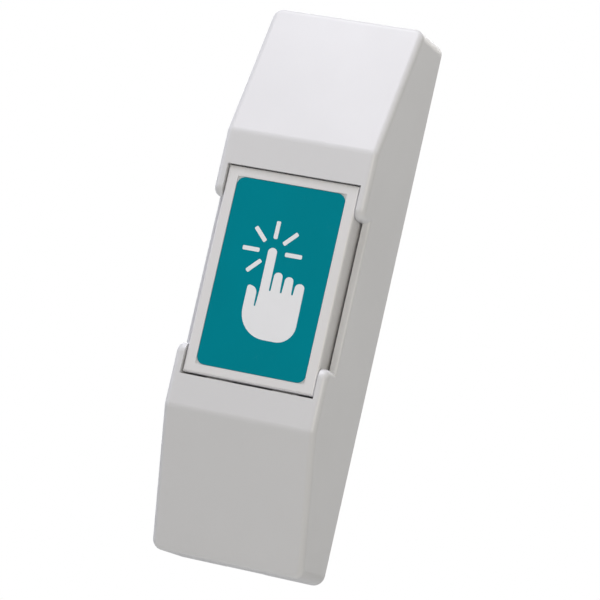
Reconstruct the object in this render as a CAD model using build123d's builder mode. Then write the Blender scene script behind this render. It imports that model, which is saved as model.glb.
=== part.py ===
from build123d import *
import os
from math import cos, pi, radians, sin, sqrt, tan

os.makedirs("parts", exist_ok=True)

# A push-to-exit button for the wall beside a door. Sizes are in millimetres.
# The back lies on the wall at Y = 0, the front looks along -Y and +Z is up.
# The origin is midway between the two wall screws. A depth is a distance out
# from the wall, and a height is a distance up from the origin.

# Button cap
button_width = 25.9
button_length = 39.3
button_wall = 1.4
button_top = 1.6
button_skirt = 8.7
button_edge_radius = 0.45
button_travel = 1.6
face_recess = 0.4
side_gap = 0.25
upper_gap = 0.2
lower_gap = 0.45
label_border_side = 2.15
label_border_end = 1.8
label_pocket = 0.3
label_thickness = 0.25
label_fit = 0.08
label_corner_radius = 1.6
lip_reach = 1.7
lip_thickness = 1.2
lip_width = 5.0
lip_spacing = 13.0
stop_gap = 0.05
rib_thickness = 1.0
rib_height = 4.0
rib_lever_gap = 0.6

# Casing shell
casing_depth = 22.6
end_depth = 12.0
shoulder_length = 6.55
ramp_length = 26.3
side_wall = 1.8
casing_wall = 1.8
draft_angle = 1.0
corner_radius = 2.2
ridge_radius = 2.5
edge_radius = 1.2
notch_depth = 4.4
upper_jaw_length = 6.0
lower_jaw_length = 5.4
jaw_tip_radius = 1.9
notch_edge_radius = 0.5
notch_relief = 0.4
notch_relief_depth = 5.0
stop_rim_width = 1.4
stop_rim_height = 1.4
pry_slot_width = 8.0
pry_slot_height = 1.2

# Base plate
plate_thickness = 2.0
plate_gap = 0.15
plate_corner_radius = 1.2
seat_rib = 1.2
wall_screw_radius = 2.1
wall_screw_head_radius = 4.0
screw_boss_radius = 5.2
screw_boss_height = 1.6
wall_screw_head_depth = 1.8
screw_end_distance = 8.5
cable_entry_radius = 3.5
hook_width = 7.0
hook_thickness = 1.2
hook_height = 4.6
hook_latch = 2.7
hook_land = 0.5
hook_nose = 0.7
hook_gap = 0.12

# Springs, their towers on the plate and their sleeves in the cap
spring_height = 11.6
spring_radius = 2.8
spring_wire = 0.6
spring_turns = 5.0
spring_bore_gap = 0.4
spring_end_gap = 0.03
tower_wall = 1.2
tower_floor = 1.4
tower_overlap = 2.5
tower_chamfer = 0.4
sleeve_gap = 0.1
sleeve_wall = 1.2

# Circuit board
board_width = 22.0
board_thickness = 1.6
board_standoff = 1.8
board_tower_gap = 0.3
board_screw_radius = 0.85
board_screw_head_radius = 2.1
board_screw_head = 1.5
board_screw_grip = 3.0
board_screw_gap = 0.05
board_margin = 0.4
pad_size = 2.0

# Snap switch
switch_length = 12.8
switch_width = 5.8
switch_height = 6.5
switch_wall = 0.8
switch_base_height = 1.3
switch_pitch = 5.08
pin_width = 0.9
pin_thickness = 0.4
pin_reach = 0.9
pin_hole_gap = 0.15
lever_pivot_inset = 1.1
lever_arm = 10.6
lever_angle = 12.0
lever_thickness = 0.3
lever_width = 3.0
lever_barrel_radius = 0.75
lever_tail = 1.2
ear_thickness = 0.7
ear_gap = 0.15
ear_rim = 0.5
lever_pin_radius = 0.4
lever_pin_gap = 0.05
lever_clearance = 0.12
plunger_radius = 0.65
plunger_dome_radius = 1.0
plunger_gap = 0.07
plunger_arm = 3.2
plunger_foot_radius = 1.0
plunger_foot = 0.5
plunger_touch_gap = 0.06
post_radius = 0.9
post_dome_radius = 1.5
post_touch_gap = 0.1
blade_thickness = 0.2
blade_width = 2.4
blade_rise = 1.5
blade_roll_radius = 0.25
blade_end_gap = 0.2
arm_width = 1.6
rivet_radius = 0.55
rivet_height = 0.35
contact_touch_gap = 0.05

# Terminal block
block_ways = 3
block_pitch = 5.08
block_depth = 8.0
block_height = 10.0
block_well_width = 4.1
block_well_depth = 4.4
block_floor = 0.9
block_chamfer = 0.8
wire_mouth = 3.3
clamp_wall = 0.5
clamp_cap = 1.3
clamp_height = 5.6
clamp_length = 3.4
clamp_gap = 0.1
clamp_screw_radius = 1.25
clamp_screw_head_radius = 1.75
clamp_screw_head = 1.6
clamp_screw_length = 4.2
block_pin_width = 0.9
block_pin_thickness = 0.6
block_plate_width = 2.6

# Places across the casing
inner_width = button_width + 2 * side_gap
front_width = inner_width + 2 * side_wall
casing_width = front_width + 2 * casing_depth * tan(radians(draft_angle))
opening_top = button_length / 2 + upper_gap
opening_bottom = -button_length / 2 - lower_gap
opening_length = opening_top - opening_bottom
opening_centre = (opening_top + opening_bottom) / 2
ridge_height = button_length / 2 + shoulder_length
half_length = ridge_height + ramp_length
casing_length = 2 * half_length
inner_length = casing_length - 2 * casing_wall
notch_floor = casing_depth - notch_depth
notch_upper = button_length / 2 - upper_jaw_length
notch_lower = lower_jaw_length - button_length / 2
notch_length = notch_upper - notch_lower
notch_centre = (notch_upper + notch_lower) / 2
plate_width = inner_width - 2 * plate_gap
plate_length = inner_length - 2 * plate_gap
wall_screw_height = half_length - screw_end_distance
hook_latch_depth = plate_thickness + hook_latch
hook_top_depth = plate_thickness + hook_height

# Depths of the button
face_depth = casing_depth - face_recess
ceiling_depth = face_depth - button_top
skirt_depth = face_depth - button_skirt
lip_top = casing_depth - casing_wall - stop_rim_height - stop_gap
pocket_width = button_width - 2 * label_border_side
pocket_length = button_length - 2 * label_border_end

# Towers and sleeves
spring_outer_radius = spring_radius + spring_wire / 2
tower_bore = spring_outer_radius + spring_bore_gap
tower_radius = tower_bore + tower_wall
tower_top = skirt_depth + tower_overlap
sleeve_bore = tower_radius + sleeve_gap
sleeve_radius = sleeve_bore + sleeve_wall
tower_floor_depth = plate_thickness + tower_floor

# Board and what stands on it
board_back = plate_thickness + board_standoff
board_front = board_back + board_thickness
board_hole_radius = tower_radius + board_tower_gap
board_screw_height = spring_height + board_hole_radius + board_screw_head_radius + board_margin
block_upper = -board_screw_height - board_screw_head_radius - board_margin
block_centre = block_upper - block_depth / 2
board_upper = board_screw_height + board_screw_head_radius + board_margin
board_lower = block_upper - block_depth - board_margin
cable_entry_height = (board_lower - wall_screw_height + screw_boss_radius) / 2
block_width = block_ways * block_pitch
well_floor = board_front + block_floor
mouth_depth = well_floor + clamp_wall + (clamp_height - clamp_wall - clamp_cap) / 2
clamp_centre = block_centre - (block_well_depth - clamp_length) / 2 + clamp_gap
clamp_front = well_floor + clamp_height
block_leg_height = block_centre + block_well_depth / 2 - clamp_gap - block_pin_thickness / 2
block_plate_depth = well_floor + clamp_wall + contact_touch_gap

# Switch
switch_front = board_front + switch_height
switch_floor = board_front + switch_base_height
switch_ceiling = switch_front - switch_wall
pivot_x = -switch_length / 2 + lever_pivot_inset
pivot_depth = switch_front + lever_barrel_radius + lever_clearance
lever_tilt = radians(lever_angle)
lever_top = lever_barrel_radius
lever_under = lever_barrel_radius - lever_thickness
post_x = pivot_x + lever_arm
post_dome_centre = pivot_depth + (
    post_dome_radius + post_touch_gap + lever_top + lever_arm * sin(lever_tilt)
) / cos(lever_tilt)
post_dome_edge = post_dome_centre - sqrt(post_dome_radius**2 - post_radius**2)
plunger_x = pivot_x + plunger_arm
plunger_travel = button_travel * plunger_arm / lever_arm
plunger_dome_centre = pivot_depth + (
    plunger_arm * sin(lever_tilt) + lever_under - plunger_dome_radius - plunger_touch_gap
) / cos(lever_tilt)
plunger_dome_edge = plunger_dome_centre + sqrt(plunger_dome_radius**2 - plunger_radius**2)
lever_tail_depth = pivot_depth + (
    (lever_arm + lever_tail) * sin(lever_tilt) + lever_top * cos(lever_tilt)
)
blade_pivot_x = switch_pitch
blade_depth = switch_floor + blade_rise + rivet_height + plunger_travel
blade_arm = blade_pivot_x - plunger_x
blade_turn = plunger_travel / blade_arm
rivet_x = -switch_pitch + pin_thickness / 2 + blade_end_gap + rivet_radius
rivet_travel = (blade_pivot_x - rivet_x) * blade_turn
plunger_foot_depth = blade_depth + blade_thickness / 2 + contact_touch_gap
closed_rivet_depth = blade_depth + blade_thickness / 2 + rivet_height + contact_touch_gap
open_rivet_depth = (
    blade_depth - blade_thickness / 2 - rivet_height - contact_touch_gap - rivet_travel
)


def side_outline(inset, back):
    """Face of the casing's side view, drawn in by inset and reaching to Y = back."""
    corners = [
        (back + inset, -half_length),
        (-end_depth, -half_length),
        (-casing_depth, -ridge_height),
        (-casing_depth, ridge_height),
        (-end_depth, half_length),
        (back + inset, half_length),
    ]
    with BuildSketch(Plane.YZ) as outline:
        with BuildLine():
            Polyline(*corners, close=True)
        make_face()
        fillet(outline.vertices().group_by(Axis.X)[0], radius=ridge_radius)
        if inset:
            offset(amount=-inset, kind=Kind.INTERSECTION, mode=Mode.REPLACE)
    return outline.sketch


outer_outline = side_outline(0, 0)
inner_outline = side_outline(casing_wall, 2 * casing_wall)

# Cover: the moulded shell with its ramps, jaws and side notches
with BuildPart() as cover:
    with BuildSketch(Plane.XZ):
        RectangleRounded(casing_width, casing_length, corner_radius)
    extrude(amount=casing_depth, taper=draft_angle)
    extrude(outer_outline, amount=casing_width, both=True, mode=Mode.INTERSECT)
    with BuildSketch(Plane.XZ.offset(casing_depth)):
        with Locations((0, opening_centre)):
            Rectangle(inner_width, opening_length)
    extrude(amount=-2 * casing_wall, mode=Mode.SUBTRACT)
    with BuildSketch(Plane.YZ) as notch:
        with Locations((-notch_floor, notch_centre)):
            Rectangle(2 * notch_depth, notch_length, align=(Align.MAX, Align.CENTER))
        with Locations((-casing_depth, 0)):
            Rectangle(notch_depth, button_length, align=(Align.MAX, Align.CENTER))
        tips = notch.vertices().filter_by(
            lambda vertex: abs(vertex.X + casing_depth) < side_gap
            and abs(vertex.Y - notch_centre) < notch_length / 2 + side_gap
        )
        fillet(tips, radius=jaw_tip_radius)
    extrude(amount=casing_width, both=True, mode=Mode.SUBTRACT)
    # The front edges, the jaws' ends among them, are rounded in one run
    outer_edges = cover.edges().filter_by(
        lambda edge: edge.center().Y < side_gap - end_depth
        and abs(edge.center().Z - notch_centre) > notch_length / 2 - side_gap
        and (
            abs(edge.center().X) > front_width / 2 - side_gap
            or abs(edge.center().Z) > ridge_height + ridge_radius
        )
    )
    fillet(outer_edges, radius=edge_radius)
    notch_edges = cover.edges().filter_by(Axis.Z).filter_by(
        lambda edge: abs(edge.center().Y + notch_floor) < side_gap
        and abs(edge.center().X) > inner_width / 2 + side_gap
    )
    fillet(notch_edges, radius=notch_edge_radius)
    with BuildSketch(Plane.XZ.offset(notch_floor)):
        with Locations((0, notch_centre)):
            Rectangle(inner_width + 2 * notch_relief, notch_length)
    extrude(amount=-notch_relief_depth, mode=Mode.SUBTRACT)
    extrude(inner_outline, amount=inner_width / 2, both=True, mode=Mode.SUBTRACT)
    # Rims behind both ends of the opening, on which the lips of the button cap stop
    with BuildSketch(Plane.XZ.offset(casing_depth - casing_wall)):
        with Locations((0, opening_top)):
            Rectangle(inner_width, stop_rim_width, align=(Align.CENTER, Align.MIN))
        with Locations((0, opening_bottom)):
            Rectangle(inner_width, stop_rim_width, align=(Align.CENTER, Align.MAX))
    extrude(amount=-stop_rim_height)
    # Corner ribs that the base plate seats against
    with BuildSketch(Plane.XZ.offset(plate_thickness)):
        with GridLocations(inner_width - seat_rib, inner_length - seat_rib, 2, 2):
            Rectangle(seat_rib, seat_rib)
    extrude(amount=end_depth - 2 * casing_wall - plate_thickness)
    # Pockets in the end walls for the hooks of the base plate
    with BuildSketch(Plane.XZ.offset(hook_latch_depth - hook_gap)):
        Rectangle(
            hook_width + 2 * hook_gap, inner_length + 2 * (hook_nose + hook_gap - plate_gap)
        )
    extrude(amount=hook_height - hook_latch + 2 * hook_gap, mode=Mode.SUBTRACT)
    # Slot at the lower end where a blade lifts the cover off
    with BuildSketch(Plane.XZ):
        with Locations((0, -half_length)):
            Rectangle(pry_slot_width, 4 * casing_wall)
    extrude(amount=pry_slot_height, mode=Mode.SUBTRACT)
cover.part.label = "cover"
export_step(cover.part, "parts/cover.step")

# Base plate: wall screw bosses, cable entry, board posts, spring towers and hooks
with BuildPart() as base_plate:
    with BuildSketch(Plane.XZ):
        RectangleRounded(plate_width, plate_length, plate_corner_radius)
    extrude(amount=plate_thickness)
    with BuildSketch(Plane.XZ.offset(plate_thickness)):
        with Locations((0, wall_screw_height), (0, -wall_screw_height)):
            Circle(screw_boss_radius)
    extrude(amount=screw_boss_height)
    with BuildSketch(Plane.XZ.offset(plate_thickness)):
        with Locations((0, board_screw_height), (0, -board_screw_height)):
            Circle(board_screw_head_radius)
        with Locations((0, (board_upper + board_lower) / 2)):
            with GridLocations(
                board_width - pad_size, board_upper - board_lower - pad_size, 2, 2
            ):
                Rectangle(pad_size, pad_size)
    extrude(amount=board_standoff)
    with BuildSketch(Plane.XZ.offset(plate_thickness)):
        with Locations((0, spring_height), (0, -spring_height)):
            Circle(tower_radius)
    extrude(amount=tower_top - plate_thickness)
    chamfer(base_plate.edges().group_by(Axis.Y)[0], length=tower_chamfer)
    with BuildSketch(Plane.XZ.offset(tower_floor_depth)):
        with Locations((0, spring_height), (0, -spring_height)):
            Circle(tower_bore)
    extrude(amount=tower_top, mode=Mode.SUBTRACT)
    with Locations(Plane.XZ.offset(plate_thickness + screw_boss_height)):
        with Locations((0, wall_screw_height), (0, -wall_screw_height)):
            CounterBoreHole(wall_screw_radius, wall_screw_head_radius, wall_screw_head_depth)
    with Locations(Plane.XZ.offset(plate_thickness)):
        with Locations((0, cable_entry_height)):
            Hole(cable_entry_radius)
    with Locations(Plane.XZ.offset(board_back)):
        with Locations((0, board_screw_height), (0, -board_screw_height)):
            Hole(board_screw_radius + board_screw_gap, depth=board_screw_grip + board_screw_gap)
    with BuildSketch(Plane.YZ):
        for end in (1, -1):
            edge = end * plate_length / 2
            with BuildLine():
                Polyline(
                    (-plate_thickness, edge),
                    (-hook_latch_depth, edge),
                    (-hook_latch_depth, edge + end * hook_nose),
                    (-hook_latch_depth - hook_land, edge + end * hook_nose),
                    (-hook_top_depth, edge),
                    (-hook_top_depth, edge - end * hook_thickness),
                    (-plate_thickness, edge - end * hook_thickness),
                    close=True,
                )
            make_face()
    extrude(amount=hook_width / 2, both=True)
base_plate.part.label = "base_plate"
export_step(base_plate.part, "parts/base_plate.step")

# Button cap: a shell with a label pocket, stop lips, spring sleeves and a press post
with BuildPart() as button_cap:
    with BuildSketch(Plane.XZ.offset(skirt_depth)):
        Rectangle(button_width, button_length)
    extrude(amount=button_skirt)
    cap_front = button_cap.faces().sort_by(Axis.Y)[0]
    fillet(cap_front.edges(), radius=button_edge_radius)
    with BuildSketch(Plane.XZ.offset(skirt_depth)):
        Rectangle(button_width - 2 * button_wall, button_length - 2 * button_wall)
    extrude(amount=button_skirt - button_top, mode=Mode.SUBTRACT)
    with BuildSketch(Plane.XZ.offset(face_depth - label_pocket)):
        Rectangle(pocket_width, pocket_length)
    extrude(amount=label_pocket, mode=Mode.SUBTRACT)
    # Sleeves that slide on the towers, tied to the side walls by ribs
    with BuildSketch(Plane.XZ.offset(ceiling_depth)):
        with Locations((0, spring_height), (0, -spring_height)):
            Circle(sleeve_radius)
    extrude(amount=skirt_depth - ceiling_depth)
    with BuildSketch(Plane.XZ.offset(ceiling_depth)):
        with Locations((0, spring_height), (0, -spring_height)):
            Rectangle(button_width - button_wall, rib_thickness)
    extrude(amount=-rib_height)
    with BuildSketch(Plane.XZ.offset(lever_tail_depth + rib_lever_gap)):
        Rectangle(button_width - button_wall, rib_thickness)
    extrude(amount=ceiling_depth - lever_tail_depth - rib_lever_gap)
    with BuildSketch(Plane.XZ.offset(ceiling_depth)):
        with Locations((0, spring_height), (0, -spring_height)):
            Circle(sleeve_bore)
    extrude(amount=-button_skirt, mode=Mode.SUBTRACT)
    # Post that presses the switch lever, with a domed end
    with BuildSketch(Plane.XY):
        with BuildLine():
            RadiusArc(
                (post_x, -post_dome_centre + post_dome_radius),
                (post_x + post_radius, -post_dome_edge),
                -post_dome_radius,
            )
            Polyline(
                (post_x + post_radius, -post_dome_edge),
                (post_x + post_radius, -ceiling_depth),
                (post_x, -ceiling_depth),
                (post_x, -post_dome_centre + post_dome_radius),
            )
        make_face()
    revolve(axis=Axis((post_x, 0, 0), (0, 1, 0)))
    # Lips at both ends that stop the cap behind the rim of the opening
    with BuildSketch(Plane.XZ.offset(lip_top)):
        with GridLocations(lip_spacing, button_length + lip_reach - button_wall, 2, 2):
            Rectangle(lip_width, lip_reach + button_wall)
    extrude(amount=-lip_thickness)
button_cap.part.label = "button_cap"
export_step(button_cap.part, "parts/button_cap.step")

# Printed label that lies in the pocket of the cap
with BuildPart() as button_label:
    with BuildSketch(Plane.XZ.offset(face_depth - label_pocket)):
        RectangleRounded(
            pocket_width - 2 * label_fit, pocket_length - 2 * label_fit, label_corner_radius
        )
    extrude(amount=label_thickness)
button_label.part.label = "button_label"
export_step(button_label.part, "parts/button_label.step")


def return_spring(height):
    """Coil spring from the floor of the tower at this height to the roof of the sleeve.

    Each half turn is a pair of arcs that meet without a corner, and the wire is square,
    which keeps the number of faces low.
    """
    start = tower_floor_depth + spring_wire / 2 + spring_end_gap
    rise = (ceiling_depth - spring_wire / 2 - spring_end_gap - start) / spring_turns

    def place(turn):
        """Point of the coil after this many turns."""
        angle = 2 * pi * turn
        return Vector(
            spring_radius * cos(angle), -start - rise * turn, height + spring_radius * sin(angle)
        )

    def heading(turn):
        """Unit vector along the coil after this many turns."""
        angle = 2 * pi * turn
        across = 2 * pi * spring_radius
        return Vector(-across * sin(angle), -rise, across * cos(angle)).normalized()

    with BuildPart() as spring:
        with BuildLine() as coil:
            for half in range(round(2 * spring_turns)):
                first, last = place(half / 2), place((half + 1) / 2)
                leaving, arriving = heading(half / 2), heading((half + 1) / 2)
                chord = last - first
                # Length of both tangents for which the two arcs meet smoothly
                square = 2 * (1 - leaving.dot(arriving))
                slope = chord.dot(leaving + arriving)
                reach = (sqrt(slope**2 + square * chord.dot(chord)) - slope) / square
                corner = first + leaving * reach
                opposite = last - arriving * reach
                middle = (corner + opposite) * 0.5
                TangentArc(first, middle, tangent=leaving)
                TangentArc(middle, last, tangent=opposite - corner)
        with BuildSketch(Plane(origin=coil.line @ 0, z_dir=coil.line % 0)):
            RegularPolygon(spring_wire / 2, 4)
        sweep(path=coil.line)
    print("least gap between turns", round(rise - spring_wire, 2))
    return spring


upper_spring = return_spring(spring_height)
upper_spring.part.label = "upper_spring"
export_step(upper_spring.part, "parts/upper_spring.step")

lower_spring = return_spring(-spring_height)
lower_spring.part.label = "lower_spring"
export_step(lower_spring.part, "parts/lower_spring.step")

# Circuit board with holes for the towers and its screws, and slots for the soldered pins
with BuildPart() as circuit_board:
    with BuildSketch(Plane.XZ.offset(board_back)):
        with Locations((0, (board_upper + board_lower) / 2)):
            Rectangle(board_width, board_upper - board_lower)
        with Locations((0, spring_height), (0, -spring_height)):
            Circle(board_hole_radius, mode=Mode.SUBTRACT)
        with Locations((0, board_screw_height), (0, -board_screw_height)):
            Circle(board_screw_radius + board_screw_gap, mode=Mode.SUBTRACT)
        with GridLocations(switch_pitch, 0, 3, 1):
            Rectangle(
                pin_thickness + 2 * pin_hole_gap,
                pin_width + 2 * pin_hole_gap,
                mode=Mode.SUBTRACT,
            )
        with Locations((0, block_leg_height)):
            with GridLocations(block_pitch, 0, block_ways, 1):
                Rectangle(
                    block_pin_width + 2 * pin_hole_gap,
                    block_pin_thickness + 2 * pin_hole_gap,
                    mode=Mode.SUBTRACT,
                )
    extrude(amount=board_thickness)
circuit_board.part.label = "circuit_board"
export_step(circuit_board.part, "parts/circuit_board.step")

# Screws that hold the board to the base plate
with BuildPart() as board_screws:
    with BuildSketch(Plane.XZ.offset(board_front)):
        with Locations((0, board_screw_height), (0, -board_screw_height)):
            Circle(board_screw_head_radius)
    extrude(amount=board_screw_head)
    with BuildSketch(Plane.XZ.offset(board_front)):
        with Locations((0, board_screw_height), (0, -board_screw_height)):
            Circle(board_screw_radius)
    extrude(amount=-board_thickness - board_screw_grip)
board_screws.part.label = "board_screws"
export_step(board_screws.part, "parts/board_screws.step")

# Switch base, with a slot for each pin
with BuildPart() as switch_base:
    with BuildSketch(Plane.XZ.offset(board_front)):
        Rectangle(switch_length, switch_width)
        with GridLocations(switch_pitch, 0, 3, 1):
            Rectangle(pin_thickness, pin_width, mode=Mode.SUBTRACT)
    extrude(amount=switch_base_height)
switch_base.part.label = "switch_base"
export_step(switch_base.part, "parts/switch_base.step")

# Switch cap: a hollow shell with the plunger bore and the two ears of the lever hinge
with BuildPart() as switch_cap:
    with BuildSketch(Plane.XZ.offset(switch_floor)):
        Rectangle(switch_length, switch_width)
    extrude(amount=switch_front - switch_floor)
    with BuildSketch(Plane.XZ.offset(switch_floor)):
        Rectangle(switch_length - 2 * switch_wall, switch_width - 2 * switch_wall)
    extrude(amount=switch_ceiling - switch_floor, mode=Mode.SUBTRACT)
    for side in (1, -1):
        ear_middle = side * (lever_width / 2 + ear_gap + ear_thickness / 2)
        with BuildSketch(Plane.XY.offset(ear_middle)):
            with Locations((pivot_x, -pivot_depth)):
                Circle(lever_pin_radius + ear_rim)
                Rectangle(
                    2 * (lever_pin_radius + ear_rim),
                    pivot_depth - switch_front + switch_wall / 2,
                    align=(Align.CENTER, Align.MIN),
                )
        extrude(amount=ear_thickness / 2, both=True)
    with BuildSketch(Plane.XY):
        with Locations((pivot_x, -pivot_depth)):
            Circle(lever_pin_radius + contact_touch_gap)
    extrude(amount=switch_width, both=True, mode=Mode.SUBTRACT)
    with Locations(Plane.XZ.offset(switch_front)):
        with Locations((plunger_x, 0)):
            Hole(plunger_radius + plunger_gap, depth=switch_wall)
switch_cap.part.label = "switch_cap"
export_step(switch_cap.part, "parts/switch_cap.step")

# Hinge pin of the lever
with BuildPart() as lever_pin:
    with BuildSketch(Plane.XY):
        with Locations((pivot_x, -pivot_depth)):
            Circle(lever_pin_radius)
    extrude(amount=lever_width / 2 + ear_gap + ear_thickness, both=True)
lever_pin.part.label = "lever_pin"
export_step(lever_pin.part, "parts/lever_pin.step")

# Lever: a strip rolled round the hinge pin, sloping out under the press post
lever_plane = Plane(
    origin=(pivot_x, -pivot_depth, 0),
    x_dir=(cos(lever_tilt), -sin(lever_tilt), 0),
    z_dir=(0, 0, -1),
)
with BuildPart() as switch_lever:
    with BuildSketch(lever_plane):
        Circle(lever_barrel_radius)
        with Locations((0, lever_top)):
            Rectangle(lever_arm + lever_tail, lever_thickness, align=(Align.MIN, Align.MAX))
        Circle(lever_pin_radius + lever_pin_gap, mode=Mode.SUBTRACT)
    extrude(amount=lever_width / 2, both=True)
switch_lever.part.label = "switch_lever"
export_step(switch_lever.part, "parts/switch_lever.step")

# Plunger: a foot inside the switch, a shaft and a domed head under the lever
with BuildPart() as switch_plunger:
    with BuildSketch(Plane.XY):
        with BuildLine():
            Polyline(
                (plunger_x, -plunger_foot_depth),
                (plunger_x + plunger_foot_radius, -plunger_foot_depth),
                (plunger_x + plunger_foot_radius, -plunger_foot_depth - plunger_foot),
                (plunger_x + plunger_radius, -plunger_foot_depth - plunger_foot),
                (plunger_x + plunger_radius, -plunger_dome_edge),
            )
            RadiusArc(
                (plunger_x + plunger_radius, -plunger_dome_edge),
                (plunger_x, -plunger_dome_centre - plunger_dome_radius),
                plunger_dome_radius,
            )
            Line(
                (plunger_x, -plunger_dome_centre - plunger_dome_radius),
                (plunger_x, -plunger_foot_depth),
            )
        make_face()
    revolve(axis=Axis((plunger_x, 0, 0), (0, 1, 0)))
switch_plunger.part.label = "switch_plunger"
export_step(switch_plunger.part, "parts/switch_plunger.step")

# Contact blade: rolled where it rocks on the common terminal, with a rivet at its free end
with BuildPart() as contact_blade:
    with BuildSketch(Plane.XZ.offset(blade_depth - blade_thickness / 2)):
        with Locations((rivet_x - rivet_radius, 0)):
            Rectangle(
                blade_pivot_x - rivet_x + rivet_radius,
                blade_width,
                align=(Align.MIN, Align.CENTER),
            )
    extrude(amount=blade_thickness)
    with BuildSketch(Plane.XZ.offset(blade_depth - blade_thickness / 2 - rivet_height)):
        with Locations((rivet_x, 0)):
            Circle(rivet_radius)
    extrude(amount=blade_thickness + 2 * rivet_height)
    with BuildSketch(Plane.XY):
        with Locations((blade_pivot_x, -blade_depth)):
            Circle(blade_roll_radius)
    extrude(amount=blade_width / 2, both=True)
contact_blade.part.label = "contact_blade"
export_step(contact_blade.part, "parts/contact_blade.step")


# Common terminal: a pin that widens to the seat on which the blade rocks
with BuildPart() as common_terminal:
    with BuildSketch(Plane.XZ.offset(board_back - pin_reach)):
        with Locations((switch_pitch, 0)):
            Rectangle(pin_thickness, pin_width)
    extrude(amount=switch_floor - board_back + pin_reach)
    with BuildSketch(Plane.XZ.offset(switch_floor)):
        with Locations((switch_pitch, 0)):
            Rectangle(pin_thickness, blade_width)
    extrude(amount=blade_depth - blade_roll_radius - contact_touch_gap - switch_floor)
common_terminal.part.label = "common_terminal"
export_step(common_terminal.part, "parts/common_terminal.step")

# Normally open terminal: its arm waits under the rivet of the blade
with BuildPart() as open_terminal:
    with BuildSketch(Plane.XZ.offset(board_back - pin_reach)):
        Rectangle(pin_thickness, pin_width)
    extrude(amount=open_rivet_depth - rivet_height - board_back + pin_reach)
    with BuildSketch(Plane.XZ.offset(open_rivet_depth - rivet_height)):
        with Locations((pin_thickness / 2, 0)):
            Rectangle(
                pin_thickness / 2 - rivet_x + rivet_radius,
                arm_width,
                align=(Align.MAX, Align.CENTER),
            )
    extrude(amount=-pin_thickness)
    with BuildSketch(Plane.XZ.offset(open_rivet_depth)):
        with Locations((rivet_x, 0)):
            Circle(rivet_radius)
    extrude(amount=-rivet_height)
open_terminal.part.label = "open_terminal"
export_step(open_terminal.part, "parts/open_terminal.step")

# Normally closed terminal: its arm holds a rivet over that of the blade
with BuildPart() as closed_terminal:
    with BuildSketch(Plane.XZ.offset(board_back - pin_reach)):
        with Locations((-switch_pitch, 0)):
            Rectangle(pin_thickness, pin_width)
    extrude(amount=closed_rivet_depth + rivet_height - board_back + pin_reach)
    with BuildSketch(Plane.XZ.offset(closed_rivet_depth + rivet_height)):
        with Locations((-switch_pitch - pin_thickness / 2, 0)):
            Rectangle(
                switch_pitch + pin_thickness / 2 + rivet_x + rivet_radius,
                arm_width,
                align=(Align.MIN, Align.CENTER),
            )
    extrude(amount=pin_thickness)
    with BuildSketch(Plane.XZ.offset(closed_rivet_depth)):
        with Locations((rivet_x, 0)):
            Circle(rivet_radius)
    extrude(amount=rivet_height)
closed_terminal.part.label = "closed_terminal"
export_step(closed_terminal.part, "parts/closed_terminal.step")

# Terminal block: a row of wells, each with a wire mouth that faces the cable entry
with BuildPart() as terminal_block:
    with BuildSketch(Plane.XZ.offset(board_front)):
        with Locations((0, block_centre)):
            Rectangle(block_width, block_depth)
    extrude(amount=block_height)
    chamfer(
        terminal_block.edges().filter_by(Axis.X).group_by(Axis.Y)[0],
        length=block_chamfer,
    )
    with BuildSketch(Plane.XZ.offset(well_floor)):
        with Locations((0, block_centre)):
            with GridLocations(block_pitch, 0, block_ways, 1):
                Rectangle(block_well_width, block_well_depth)
    extrude(amount=block_height, mode=Mode.SUBTRACT)
    with BuildSketch(Plane.XY.offset(block_centre)):
        with Locations((0, -mouth_depth)):
            with GridLocations(block_pitch, 0, block_ways, 1):
                Rectangle(wire_mouth, wire_mouth)
    extrude(amount=-block_depth, mode=Mode.SUBTRACT)
    with BuildSketch(Plane.XZ.offset(board_front)):
        with Locations((0, block_leg_height)):
            with GridLocations(block_pitch, 0, block_ways, 1):
                Rectangle(block_pin_width, block_pin_thickness)
    extrude(amount=block_floor, mode=Mode.SUBTRACT)
terminal_block.part.label = "terminal_block"
export_step(terminal_block.part, "parts/terminal_block.step")

# Wire clamps: open frames that the screws draw up against the wires
with BuildPart() as wire_clamps:
    with BuildSketch(Plane.XZ.offset(well_floor)):
        with Locations((0, clamp_centre)):
            with GridLocations(block_pitch, 0, block_ways, 1):
                Rectangle(block_well_width - 2 * clamp_gap, clamp_length)
    extrude(amount=clamp_height)
    with BuildSketch(Plane.XY.offset(clamp_centre)):
        with Locations((0, -well_floor - clamp_wall)):
            with GridLocations(block_pitch, 0, block_ways, 1):
                Rectangle(
                    block_well_width - 2 * clamp_gap - 2 * clamp_wall,
                    clamp_height - clamp_wall - clamp_cap,
                    align=(Align.CENTER, Align.MAX),
                )
    extrude(amount=clamp_length, both=True, mode=Mode.SUBTRACT)
    with BuildSketch(Plane.XZ.offset(clamp_front)):
        with Locations((0, clamp_centre)):
            with GridLocations(block_pitch, 0, block_ways, 1):
                Circle(clamp_screw_radius + contact_touch_gap)
    extrude(amount=-clamp_cap, mode=Mode.SUBTRACT)
wire_clamps.part.label = "wire_clamps"
export_step(wire_clamps.part, "parts/wire_clamps.step")

# Screws of the wire clamps
with BuildPart() as clamp_screws:
    with BuildSketch(Plane.XZ.offset(clamp_front)):
        with Locations((0, clamp_centre)):
            with GridLocations(block_pitch, 0, block_ways, 1):
                Circle(clamp_screw_head_radius)
    extrude(amount=clamp_screw_head)
    with BuildSketch(Plane.XZ.offset(clamp_front)):
        with Locations((0, clamp_centre)):
            with GridLocations(block_pitch, 0, block_ways, 1):
                Circle(clamp_screw_radius)
    extrude(amount=-clamp_screw_length)
clamp_screws.part.label = "clamp_screws"
export_step(clamp_screws.part, "parts/clamp_screws.step")

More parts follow.
